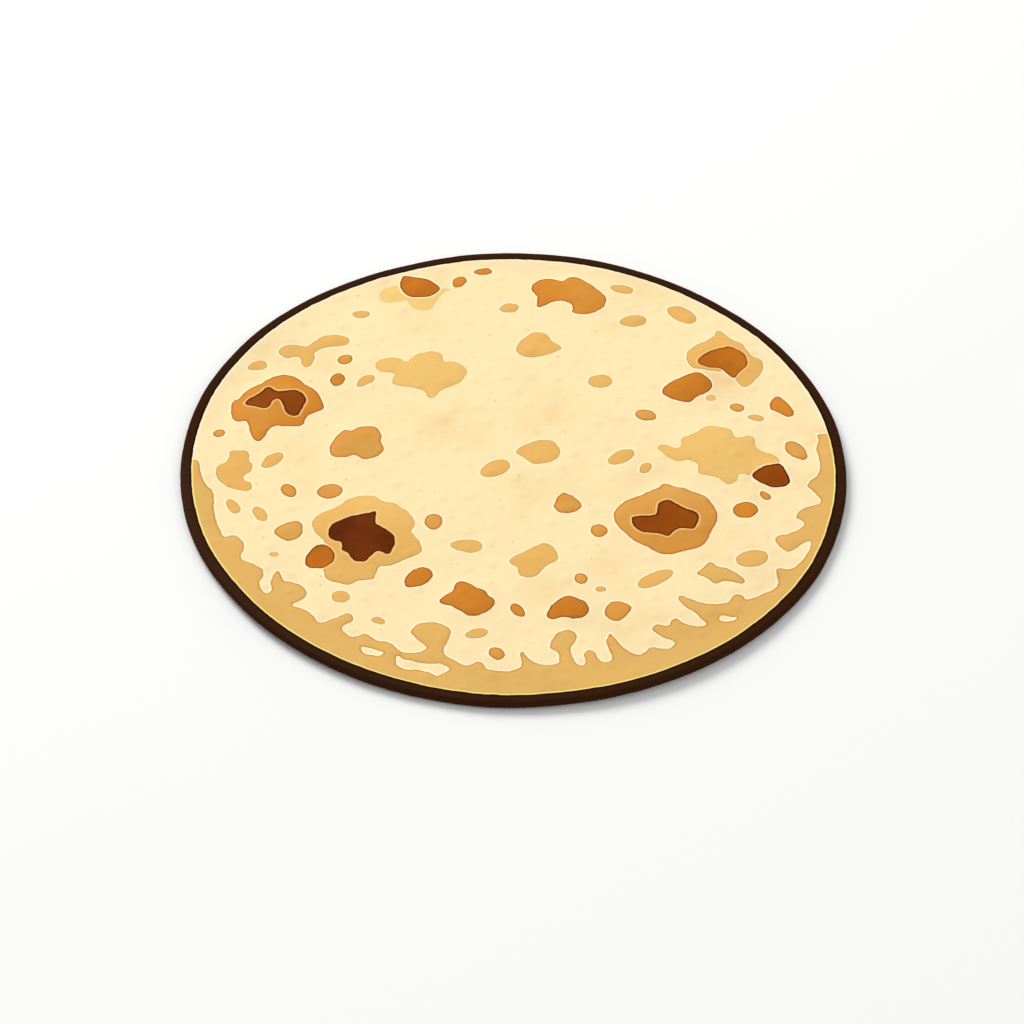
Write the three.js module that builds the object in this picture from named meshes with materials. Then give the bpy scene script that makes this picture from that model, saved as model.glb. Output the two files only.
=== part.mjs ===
// A roti: a round unleavened flatbread, rolled thin and baked on a griddle. It is baked as one
// piece, so it is one solid. Millimetres, +Z up. The origin is on the surface that the bread lies
// on, under the middle of its outline.
import * as THREE from "three";
import { mergeVertices } from "three/addons/utils/BufferGeometryUtils.js";

const { degToRad, smoothstep } = THREE.MathUtils;

// Driving dimensions.
const DIAMETER = 180;
const SHEET = 2.4; // thickness of the rolled and baked dough
const REST_RADIUS = 80; // the underside is flat out to here, and curls up beyond it
const RIM_LIFT = 0.9; // how far the rim's underside stands off the surface, at its highest
const RIM_ROUND = 1.1; // width of the rounding along the rim's corners

// The outline is a shade oval, longest from front right to back left, as hand-rolled dough is.
const OVALITY = 0.63;
const OVAL_TURN = degToRad(-45);

// The rim's curl rises and falls as it goes round.
const CURL_WAVES = 5;
const CURL_START = 0.8; // radians
const CURL_LOW = 1 / 3; // the lowest curl, as a share of the highest

// Broad waves in the top, left by the rolling pin and the steam. They bend as they run.
const WAVE_HEIGHT = 0.28;
const WAVE_LENGTH = 46;
const WAVE_BEND = 0.6;
const WAVE_BEND_RATE = 0.7;
const WAVE_START = 0.9;
const FADE_START = 0.86; // waves and blisters fade out from this share of the radius to the rim

// Blisters puffed up by steam: middle, radius and rise.
const BLISTERS = [
  { x: -65, y: 26, radius: 15, rise: 1.1 },
  { x: -40, y: -26, radius: 17, rise: 1.3 },
  { x: 42, y: -21, radius: 16, rise: 1.2 },
  { x: 60, y: 43, radius: 13, rise: 1.0 },
  { x: 49, y: 31, radius: 9, rise: 0.8 },
  { x: 16, y: 71, radius: 12, rise: 0.9 },
  { x: -27, y: 75, radius: 9, rise: 0.8 },
  { x: -43, y: 8, radius: 10, rise: 0.8 },
  { x: 70, y: -5, radius: 8, rise: 0.8 },
  { x: -12, y: -53, radius: 10, rise: 0.8 },
  { x: 15, y: -56, radius: 9, rise: 0.7 },
  { x: -26, y: 37, radius: 14, rise: 0.6 },
  { x: 56, y: 3, radius: 17, rise: 0.6 },
];

// How finely the faces follow the shape.
const TOP_RINGS = 20;
const CORNER_STEPS = 3; // in each of the rim's two rounded corners
const CURL_STEPS = 3; // across the underside's curl
const RIM_POINTS = 6 * TOP_RINGS;

const radius = DIAMETER / 2;
const cornerShare = 1 - RIM_ROUND / radius; // where the flat of the sheet ends and its corner begins

/** The outline's radius in one direction. */
function outline(angle) {
  return radius + OVALITY * Math.cos(2 * (angle - OVAL_TURN));
}

/** How far the rim's underside stands off the surface in one direction. */
function rimLift(angle) {
  const swing = (1 + Math.sin(CURL_WAVES * angle + CURL_START)) / 2;
  return RIM_LIFT * (CURL_LOW + (1 - CURL_LOW) * swing);
}

/** The lift at a share of the outline's radius: none over the flat rest, and all of it at the rim. */
function liftAt(share, angle) {
  return rimLift(angle) * smoothstep(share, REST_RADIUS / radius, 1);
}

/** A round blister's rise at a point. */
function blisterRise(blister, x, y) {
  const share = Math.min(1, Math.hypot(x - blister.x, y - blister.y) / blister.radius);
  return blister.rise * (1 - share * share) ** 2;
}

/** The top's height above the sheet at a point: broad waves and the highest blister there. */
function relief(x, y) {
  const rate = (2 * Math.PI) / WAVE_LENGTH;
  const bend = WAVE_BEND * Math.cos(WAVE_BEND_RATE * rate * y);
  const wave = Math.sin(rate * x + bend) * Math.sin(rate * y + WAVE_START);
  const fade = 1 - smoothstep(Math.hypot(x, y), FADE_START * radius, radius);
  const rises = BLISTERS.map((blister) => blisterRise(blister, x, y));
  return fade * (WAVE_HEIGHT * wave + Math.max(...rises));
}

/** Points and triangles of a closed surface, gathered ring by ring. */
class Surface {
  positions = [];
  triangles = [];

  point(x, y, z) {
    this.positions.push(x, y, z);
    return this.positions.length / 3 - 1;
  }

  /** A ring of points at a share of the outline's radius. Its height is a function of place. */
  ring(count, share, inset, height) {
    return Array.from({ length: count }, (_, i) => {
      const angle = (2 * Math.PI * i) / count;
      const reach = (outline(angle) - inset) * share;
      const x = reach * Math.cos(angle);
      const y = reach * Math.sin(angle);
      return this.point(x, y, height(x, y, angle));
    });
  }

  /** Triangles between two closed rings, which step round together by their share of a turn. */
  band(first, second) {
    let i = 0;
    let j = 0;
    while (i < first.length || j < second.length) {
      const a = first[i % first.length];
      const b = second[j % second.length];
      const firstShare = (i + 1) / first.length;
      const secondShare = (j + 1) / second.length;
      if (secondShare <= firstShare) {
        j += 1;
        this.triangles.push(a, b, second[j % second.length]);
      } else {
        i += 1;
        this.triangles.push(a, b, first[i % first.length]);
      }
    }
  }

  /** A fan from a middle point to a ring. */
  fan(middle, ring) {
    ring.forEach((p, i) => this.triangles.push(middle, p, ring[(i + 1) % ring.length]));
  }

  geometry() {
    const made = new THREE.BufferGeometry();
    made.setAttribute("position", new THREE.Float32BufferAttribute(this.positions, 3));
    made.setIndex(this.triangles);
    return mergeVertices(made);
  }
}

/** The top: a middle point, then rings of six, twelve, eighteen points and so on. Returns the last ring. */
function addTop(surface) {
  let last = null;
  for (let n = 1; n <= TOP_RINGS; n += 1) {
    const share = n / TOP_RINGS;
    const height = (x, y, angle) => SHEET + liftAt(share * cornerShare, angle) + relief(x, y);
    const next = surface.ring(6 * n, share, RIM_ROUND, height);
    if (last) surface.band(last, next);
    else surface.fan(surface.point(0, 0, SHEET + relief(0, 0)), next);
    last = next;
  }
  return last;
}

/** The rim, from the top's last ring round to the underside: half an ellipse in section. */
function addRim(surface, topRing) {
  const half = SHEET / 2;
  let last = topRing;
  for (let step = 1; step < 2 * CORNER_STEPS; step += 1) {
    const turn = (Math.PI * step) / (2 * CORNER_STEPS);
    const inset = RIM_ROUND * (1 - Math.sin(turn));
    const height = (x, y, angle) => half + half * Math.cos(turn) + rimLift(angle);
    const next = surface.ring(RIM_POINTS, 1, inset, height);
    surface.band(last, next);
    last = next;
  }
  return last;
}

/** The underside: it curls down from the rim to the flat rest. */
function addUnderside(surface, rimRing) {
  let last = rimRing;
  for (let step = 0; step <= CURL_STEPS; step += 1) {
    const share = THREE.MathUtils.lerp(cornerShare, REST_RADIUS / radius, step / CURL_STEPS);
    const next = surface.ring(RIM_POINTS, share, 0, (x, y, angle) => liftAt(share, angle));
    surface.band(last, next);
    last = next;
  }
  surface.fan(surface.point(0, 0, 0), last.reverse());
}

function makeRoti() {
  const surface = new Surface();
  const topRing = addTop(surface);
  const rimRing = addRim(surface, topRing);
  addUnderside(surface, rimRing);

  const bakedDough = new THREE.MeshStandardMaterial({ color: 0xf6dfae, roughness: 0.8, metalness: 0 });
  const roti = new THREE.Mesh(surface.geometry(), bakedDough);
  roti.name = "roti";
  return roti;
}

const group = new THREE.Group();
group.add(makeRoti());
export default group;
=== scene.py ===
# A roti: a thin round griddle bread with toasted marks and a dark rim, lying on a pale floor.
import bpy
import math
import numpy as np
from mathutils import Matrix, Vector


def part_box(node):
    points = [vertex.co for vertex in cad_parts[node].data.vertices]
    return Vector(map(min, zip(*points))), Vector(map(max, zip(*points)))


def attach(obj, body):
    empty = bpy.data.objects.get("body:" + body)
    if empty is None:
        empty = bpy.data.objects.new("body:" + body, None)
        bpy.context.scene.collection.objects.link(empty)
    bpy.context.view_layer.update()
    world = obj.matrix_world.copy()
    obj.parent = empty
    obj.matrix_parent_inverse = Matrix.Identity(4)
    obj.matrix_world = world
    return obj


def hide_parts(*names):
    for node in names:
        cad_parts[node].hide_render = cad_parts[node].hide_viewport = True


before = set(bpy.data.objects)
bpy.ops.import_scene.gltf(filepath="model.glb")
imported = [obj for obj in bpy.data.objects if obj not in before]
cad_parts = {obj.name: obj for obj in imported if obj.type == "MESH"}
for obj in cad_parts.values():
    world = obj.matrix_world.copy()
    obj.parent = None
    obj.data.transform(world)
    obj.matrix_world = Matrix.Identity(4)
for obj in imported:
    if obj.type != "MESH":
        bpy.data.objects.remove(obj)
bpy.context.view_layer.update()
mm = 0.001  # the tables below are in millimetres, and Blender is in metres

breadLow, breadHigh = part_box("roti")
breadMiddle = [(low + high) / 2 for low, high in zip(breadLow, breadHigh)]
breadRadius = (breadHigh[0] - breadLow[0]) / 2 / mm


def toLinear(hexColour):
    channels = [int(hexColour[i : i + 2], 16) / 255 for i in (1, 3, 5)]
    linear = [c / 12.92 if c <= 0.04045 else ((c + 0.055) / 1.055) ** 2.4 for c in channels]
    return (*linear, 1.0)


# Adds a node, sets it, fills or links its inputs and gives back one of its outputs. A colour is given as
# its hex value.
def addNode(tree, kind, inputs=None, output=0, **settings):
    node = tree.nodes.new(kind)
    for name, value in settings.items():
        setattr(node, name, value)
    for key, value in (inputs or {}).items():
        named = [socket for socket in node.inputs if socket.enabled and socket.name == key]
        socket = named[0] if named else node.inputs[key]
        if isinstance(value, bpy.types.NodeSocket):
            tree.links.new(value, socket)
        else:
            isColour = isinstance(value, str) and value.startswith("#")
            socket.default_value = toLinear(value) if isColour else value
    shown = [socket for socket in node.outputs if socket.enabled]
    return node.outputs[output] if isinstance(output, str) else (shown[output] if shown else node)


studio = {  # metres, except where a note says otherwise
    "lens": 100,  # millimetres
    "sensor": 36,  # millimetres
    "elevation": 42.45,  # degrees above the floor, seen from the bread's middle
    "distance": 0.7725,
    "aimBelow": 0.92,  # degrees that the camera aims below the bread's middle
    "aimLeft": 0.00025,  # how far left of the bread's middle it aims
    "floorSize": 8.0,
    "floorColour": "#F0EFEC",
    "floorRoughness": 0.9,
    "worldColour": "#F4F6FA",
    "worldStrength": 0.62,
    # name: place, size and watts
    "lights": {
        "keySoftbox": ((-1.05, 1.45, 1.55), 1.3, 42.0),
        "fillSoftbox": ((1.15, -1.55, 1.9), 1.9, 12.0),
    },
}


def makeCamera():
    data = bpy.data.cameras.new("camera")
    data.lens = studio["lens"]
    data.sensor_width = studio["sensor"]
    camera = bpy.data.objects.new("camera", data)
    bpy.context.scene.collection.objects.link(camera)
    elevation = math.radians(studio["elevation"])
    back = (0, -math.cos(elevation), math.sin(elevation))
    floorPoint = (breadMiddle[0] - studio["aimLeft"], breadMiddle[1], breadLow[2])
    camera.location = [point + studio["distance"] * b for point, b in zip(floorPoint, back)]
    camera.rotation_euler = (math.pi / 2 - elevation - math.radians(studio["aimBelow"]), 0, 0)
    bpy.context.scene.camera = camera


def makeLights():
    for name, (place, size, watts) in studio["lights"].items():
        data = bpy.data.lights.new(name, "AREA")
        data.shape = "DISK"
        data.size = size
        data.energy = watts
        light = bpy.data.objects.new(name, data)
        light.location = place
        toBread = -light.location.normalized()
        light.rotation_euler = toBread.to_track_quat("-Z", "Y").to_euler()
        bpy.context.scene.collection.objects.link(light)
    world = bpy.data.worlds.new("paleRoom")
    world.use_nodes = True
    sky = world.node_tree.nodes["Background"]
    sky.inputs["Color"].default_value = toLinear(studio["worldColour"])
    sky.inputs["Strength"].default_value = studio["worldStrength"]
    bpy.context.scene.world = world
    bpy.context.scene.view_settings.view_transform = "Standard"


# Painted board: an even, matt, nearly white surface.
def makeFloor():
    half = studio["floorSize"] / 2
    corners = [(-half, -half, 0), (half, -half, 0), (half, half, 0), (-half, half, 0)]
    mesh = bpy.data.meshes.new("floor")
    mesh.from_pydata(corners, [], [(0, 1, 2, 3)])
    material = bpy.data.materials.new("paintedBoard")
    material.use_nodes = True
    shader = material.node_tree.nodes["Principled BSDF"]
    shader.inputs["Base Color"].default_value = toLinear(studio["floorColour"])
    shader.inputs["Roughness"].default_value = studio["floorRoughness"]
    mesh.materials.append(material)
    floor = bpy.data.objects.new("floor", mesh)
    bpy.context.scene.collection.objects.link(floor)


makeCamera()
makeLights()
makeFloor()
print("stage: camera, two softboxes and a pale floor")


# How brown each kind of mark is, from 0, pale gold, to 1, black. The material's colours follow it.
tones = {
    "straw": 0.05,
    "wheat": 0.17,
    "golden": 0.25,
    # the front band: toasting, with painted shade over the front half
    "band": 0.31,
    "amber": 0.41,
    "orange": 0.49,
    "rust": 0.57,
    "copper": 0.62,
    "brown": 0.66,
    "dark": 0.78,
    "umber": 0.83,
    "charred": 0.88,
}

# Single round or egg-shaped marks: middle x and y, half length, half width, turn in degrees, how much
# wider the far end is than the near one, and tone.
roundMarks = [
    (-43.5, 61.7, 2.6, 1.7, 0, 0.0, "golden"),
    (-47.3, 41.7, 2.3, 2.1, 30, 0.0, "amber"),
    (-49.0, 32.8, 2.7, 2.1, 80, 0.1, "orange"),
    (-41.2, 32.4, 3.2, 1.8, 45, 0.25, "golden"),
    (-71.8, 38.9, 2.9, 1.9, 20, 0.3, "golden"),
    (-8.8, 81.2, 2.8, 1.5, 6, 0.2, "orange"),
    (-15.6, 76.4, 2.8, 1.9, 65, 0.15, "orange"),
    (-1.0, 64.6, 2.9, 2.1, 12, 0.0, "golden"),
    (31.4, 73.1, 3.5, 1.9, -18, 0.15, "golden"),
    (34.4, 58.7, 3.9, 2.6, 10, 0.1, "golden"),
    (24.4, 32.3, 3.5, 2.8, 0, 0.0, "golden"),
    (48.4, 61.5, 5.0, 2.9, -42, 0.1, "golden"),
    (36.6, 18.1, 3.0, 2.3, -20, 0.0, "amber"),
    (62.0, 21.2, 2.1, 1.8, -20, 0.0, "amber"),
    (66.9, 16.9, 2.4, 1.4, -15, 0.2, "golden"),
    (54.9, 25.2, 1.5, 1.3, 60, 0.0, "wheat"),
    (-80.4, 10.6, 1.9, 1.5, 40, 0.0, "amber"),
    (-65.2, -0.5, 3.9, 2.1, 50, 0.1, "golden"),
    (-60.1, -12.5, 2.9, 1.9, -60, 0.0, "amber"),
    (-49.0, -12.8, 3.5, 2.8, 15, 0.05, "amber"),
    (-74.6, -18.6, 3.2, 1.6, -60, 0.1, "golden"),
    (-67.2, -21.5, 3.2, 1.7, -62, 0.1, "golden"),
    (-4.8, -3.7, 4.6, 3.0, 35, 0.1, "golden"),
    (29.4, 0.9, 4.2, 2.4, 36, 0.0, "golden"),
    (-21.0, -24.6, 3.1, 2.4, 90, 0.05, "amber"),
    (22.7, -28.0, 2.5, 2.2, 90, 0.0, "amber"),
    (35.8, -3.6, 2.4, 1.5, 60, 0.1, "golden"),
    (67.4, -14.4, 2.0, 1.2, -60, 0.1, "amber"),
    (61.9, -20.1, 3.5, 3.0, 25, 0.0, "orange"),
    (77.1, 3.4, 4.2, 2.5, -60, -0.1, "amber"),
    (-62.5, -36.9, 1.4, 0.9, 0, 0.0, "wheat"),
    (-44.4, -52.6, 2.5, 2.1, -15, 0.0, "golden"),
    (-34.4, -61.2, 2.0, 1.2, -22, 0.1, "golden"),
    (-12.3, -33.8, 4.3, 2.5, -6, 0.2, "golden"),
    (-24.6, -45.7, 4.4, 3.0, 48, 0.1, "rust"),
    (17.6, -46.0, 2.2, 1.7, -65, 0.0, "amber"),
    (22.7, -49.8, 1.5, 1.1, 0, 0.0, "golden"),
    (1.2, -57.5, 2.7, 1.6, -60, 0.0, "orange"),
    (-9.3, -65.8, 3.0, 1.7, 14, 0.2, "golden"),
    (-4.2, -72.8, 2.4, 1.9, -55, 0.1, "amber"),
    (62.5, -38.5, 4.4, 3.1, 18, 0.0, "golden"),
    (37.0, -46.0, 5.5, 2.3, 33, -0.1, "golden"),
]

# Irregular marks on the bare dough. Each is a smooth closed line through its points, with its tone
# and how that changes per millimetre to the right and to the back.
openMarks = [
    ("golden", (0, 0), [  # a bird with one wing up
        (-66.2, 44.6), (-65.4, 47.0), (-63.0, 48.3), (-60.5, 47.8), (-58.3, 47.5), (-56.6, 49.5),
        (-54.0, 51.9), (-50.5, 52.6), (-47.5, 51.6), (-46.3, 50.0), (-47.0, 48.2), (-49.5, 47.5),
        (-53.0, 46.9), (-55.8, 44.9), (-55.8, 41.9), (-56.9, 38.8), (-58.3, 38.4), (-59.5, 39.8),
        (-59.8, 42.1), (-61.2, 42.8), (-64.0, 42.3),
    ]),
    ("wheat", (0, 0), [  # a cloud
        (-38.8, 38.9), (-37.4, 41.5), (-34.4, 42.6), (-31.8, 42.1), (-30.0, 40.9), (-27.6, 43.3),
        (-24.2, 45.1), (-21.4, 44.9), (-19.8, 43.5), (-19.5, 40.7), (-17.0, 40.8), (-14.4, 39.4),
        (-12.9, 36.4), (-14.6, 32.0), (-17.6, 30.0), (-20.2, 28.1), (-21.6, 25.9), (-22.6, 25.0),
        (-23.8, 25.8), (-24.6, 28.1), (-28.0, 29.6), (-32.0, 30.4), (-33.9, 32.0), (-33.0, 35.3),
        (-34.6, 36.0), (-37.2, 36.6),
    ]),
    ("straw", (0, 0), [  # the gold round the brown mark at the back
        (-38.6, 70.4), (-38.0, 72.6), (-36.0, 73.9), (-32.5, 75.4), (-27.0, 76.0), (-21.0, 73.8),
        (-17.9, 73.0), (-19.6, 71.8), (-21.4, 69.4), (-22.6, 65.8), (-23.5, 64.0), (-25.6, 63.5),
        (-28.2, 64.1), (-29.7, 66.0), (-30.5, 68.0), (-33.0, 67.6), (-35.6, 66.9), (-37.9, 67.8),
    ]),
    ("orange", (-0.002, 0), [  # a jaw, open to the front
        (5.3, 73.4), (6.0, 75.7), (8.2, 77.4), (10.8, 78.0), (14.2, 77.0), (16.2, 78.1),
        (18.2, 78.6), (20.4, 77.4), (24.4, 73.0), (26.4, 70.2), (26.8, 67.4), (25.9, 64.7),
        (23.8, 62.8), (21.4, 61.8), (18.6, 61.8), (16.9, 62.7), (17.2, 64.4), (16.8, 66.0),
        (15.4, 67.4), (13.4, 67.7), (11.0, 67.0), (8.8, 65.4), (7.5, 64.6), (6.9, 65.6),
        (7.0, 69.6), (6.2, 71.2),
    ]),
    ("golden", (0, 0), [  # a leaf with its tip to the right
        (0.8, 46.2), (1.8, 49.2), (3.7, 51.9), (6.0, 53.6), (8.2, 53.4), (10.0, 52.0),
        (11.2, 49.7), (12.8, 48.4), (13.7, 46.7), (12.6, 45.5), (9.6, 43.8), (5.6, 42.6),
        (2.4, 43.4),
    ]),
    ("golden", (0, 0), [  # the gold round the brown mark at the right
        (58.3, 54.5), (57.2, 52.4), (55.2, 50.4), (51.8, 48.0), (49.6, 45.6), (48.8, 43.0),
        (49.4, 40.0), (50.9, 38.0), (55.0, 37.0), (60.0, 36.0), (62.3, 33.0), (63.2, 30.9),
        (64.6, 29.8), (66.2, 30.6), (67.6, 32.6), (69.4, 35.2), (70.3, 38.4), (70.0, 41.2),
        (67.0, 43.4), (66.1, 45.8), (64.8, 48.5), (61.6, 51.2), (59.8, 53.7),
    ]),
    ("rust", (0.001, -0.001), [  # a bean, lower down
        (41.5, 28.4), (42.8, 30.8), (45.2, 32.9), (48.2, 34.8), (50.6, 36.2), (52.8, 35.7),
        (54.8, 33.6), (55.6, 31.2), (55.3, 29.2), (53.6, 27.3), (51.2, 25.8), (49.2, 23.7),
        (46.8, 23.7), (44.2, 24.8), (42.0, 26.6),
    ]),
    ("orange", (0, 0), [  # a pod near the right rim
        (73.6, 26.0), (75.4, 24.0), (77.4, 20.2), (77.3, 18.0), (75.9, 17.2), (74.4, 18.1),
        (71.6, 20.1), (71.1, 22.0), (71.9, 24.6),
    ]),
    ("orange", (0.003, -0.001), [  # the big mark at the left
        (-78.0, 21.5), (-77.3, 24.1), (-76.0, 24.9), (-74.0, 28.2), (-70.4, 31.2), (-67.6, 33.7),
        (-64.0, 35.1), (-60.4, 33.8), (-58.0, 31.2), (-55.6, 29.3), (-53.8, 26.4), (-52.4, 22.4),
        (-52.4, 20.5), (-55.2, 18.8), (-56.9, 17.0), (-57.4, 14.8), (-58.8, 13.5), (-62.0, 13.4),
        (-65.0, 13.6), (-66.8, 12.2), (-67.7, 9.6), (-69.0, 7.4), (-70.4, 7.7), (-71.8, 10.0),
        (-72.5, 13.4), (-73.4, 15.5), (-76.0, 15.4), (-77.4, 17.2),
    ]),
    ("amber", (0, 0), [  # a thick cushion
        (-49.8, 3.0), (-49.6, 6.4), (-48.2, 9.3), (-46.0, 12.0), (-44.2, 11.6), (-42.4, 13.0),
        (-40.0, 13.6), (-37.6, 12.8), (-36.1, 10.4), (-35.9, 7.2), (-35.1, 4.2), (-36.1, 1.8),
        (-38.2, 0.4), (-40.4, 0.1), (-43.2, 1.7), (-45.2, 0.9), (-47.8, 0.9), (-49.3, 1.6),
    ]),
    ("golden", (0, 0), [  # a boot near the left rim
        (-77.0, 2.4), (-76.2, 3.5), (-72.8, 3.3), (-71.6, 1.8), (-71.5, -0.4), (-70.4, -2.4),
        (-70.6, -4.6), (-72.5, -6.8), (-72.0, -8.4), (-70.4, -9.4), (-70.0, -11.4), (-71.4, -12.9),
        (-74.0, -12.0), (-76.4, -11.2), (-78.4, -9.4), (-80.0, -6.4), (-80.0, -3.2), (-77.8, -1.0),
        (-77.0, 0.6),
    ]),
    ("golden", (0, 0), [  # a pebble in the middle
        (0.8, 2.8), (2.2, 5.0), (4.8, 6.7), (7.4, 7.7), (10.2, 7.6), (12.2, 5.6),
        (12.9, 2.6), (12.0, 0.2), (9.4, -1.5), (6.0, -2.0), (4.2, -0.8), (2.8, 0.6),
    ]),
    ("amber", (0, 0), [  # a drop
        (13.7, -13.3), (16.0, -14.6), (18.0, -17.2), (18.3, -19.0), (16.8, -20.5), (14.2, -21.5),
        (11.8, -20.6), (10.9, -18.4), (11.6, -15.8), (12.8, -13.9),
    ]),
    ("wheat", (0, 0), [  # a cloud at the right
        (39.4, 4.2), (39.9, 5.8), (41.8, 5.9), (44.4, 4.4), (45.7, 5.8), (46.1, 8.4),
        (47.8, 9.5), (50.0, 10.6), (51.8, 12.7), (54.8, 13.5), (57.6, 12.9), (59.9, 12.0),
        (60.6, 9.2), (62.0, 8.9), (64.2, 9.6), (65.8, 8.6), (66.1, 5.4), (67.4, 3.4),
        (70.4, 1.8), (72.2, -0.4), (72.0, -4.0), (68.0, -6.6), (63.6, -6.5), (61.0, -6.3),
        (60.1, -8.8), (58.2, -9.9), (56.6, -9.2), (54.8, -7.2), (50.6, -6.0), (49.8, -4.2),
        (49.9, -2.0), (47.8, -0.3), (44.8, -0.8), (42.2, 0.6),
    ]),
    ("amber", (0.002, -0.002), [  # the big mark at the front right
        (40.6, -9.8), (43.0, -10.7), (46.6, -12.2), (50.2, -14.0), (52.6, -16.8), (54.0, -20.4),
        (54.1, -23.8), (52.4, -28.2), (51.4, -31.0), (49.8, -33.6), (46.8, -35.2), (44.2, -35.9),
        (41.4, -36.9), (38.0, -36.5), (35.0, -34.0), (32.0, -32.0), (29.6, -29.0), (27.2, -25.2),
        (26.8, -22.0), (28.0, -18.8), (30.2, -16.4), (33.8, -14.4), (36.8, -12.4), (39.0, -11.4),
    ]),
    ("golden", (0.0, -0.004), [  # the big mark at the front left
        (-53.0, -24.4), (-51.6, -21.9), (-48.4, -19.7), (-45.8, -17.9), (-43.8, -15.8), (-41.0, -14.7),
        (-37.6, -14.5), (-34.6, -16.6), (-31.6, -17.5), (-28.8, -19.7), (-26.6, -22.8), (-25.9, -25.8),
        (-26.8, -28.4), (-25.0, -31.4), (-23.8, -35.0), (-25.0, -37.1), (-28.6, -39.2), (-32.2, -41.2),
        (-34.6, -41.4), (-35.6, -44.2), (-36.4, -46.5), (-40.0, -46.7), (-42.4, -48.2), (-45.0, -47.6),
        (-48.2, -46.4), (-49.4, -43.0), (-50.2, -38.0), (-49.5, -32.6), (-51.6, -29.4), (-52.9, -26.8),
    ]),
    ("amber", (0, 0), [  # a pebble at the left front
        (-63.0, -28.0), (-60.9, -25.5), (-57.6, -24.3), (-55.8, -25.6), (-55.5, -28.6),
        (-56.9, -31.1), (-59.4, -31.8), (-61.8, -30.3),
    ]),
    ("golden", (0, 0), [  # a glove, thumb to the left
        (7.2, -33.2), (9.4, -33.1), (10.9, -34.6), (11.8, -37.2), (11.6, -39.2), (9.0, -40.9),
        (7.6, -42.8), (6.0, -45.0), (3.6, -45.5), (1.6, -44.6), (1.2, -42.0), (-0.6, -40.7),
        (-0.8, -38.8), (1.6, -36.8), (4.2, -35.0),
    ]),
    ("rust", (0, 0), [  # a star
        (-14.9, -47.6), (-13.0, -46.9), (-11.2, -47.8), (-9.4, -49.2), (-7.2, -50.2), (-6.4, -52.1),
        (-5.0, -53.4), (-4.8, -55.4), (-6.4, -57.8), (-9.0, -59.3), (-11.8, -59.3), (-13.6, -57.6),
        (-15.8, -56.0), (-18.6, -54.8), (-18.7, -53.2), (-15.6, -50.4),
    ]),
    ("rust", (0, 0), [  # a molar
        (13.8, -52.2), (16.2, -53.1), (18.6, -54.5), (19.6, -57.0), (18.4, -59.6), (15.6, -60.7),
        (13.0, -60.0), (10.2, -60.8), (8.6, -59.6), (9.4, -56.6), (11.2, -54.0),
    ]),
    ("amber", (0, 0), [  # a button
        (23.4, -58.4), (24.2, -55.8), (26.2, -54.2), (28.8, -54.9), (30.5, -56.8), (29.2, -59.2),
        (27.0, -61.4), (24.8, -60.8),
    ]),
    ("band", (0, 0), [  # a fish
        (50.5, -40.3), (52.0, -40.0), (53.2, -41.4), (55.8, -42.2), (58.0, -43.9), (60.0, -46.2),
        (59.4, -47.8), (57.2, -47.3), (54.6, -46.8), (52.2, -47.8), (50.4, -45.8), (47.8, -44.3),
        (49.6, -41.9),
    ]),
]

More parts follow.
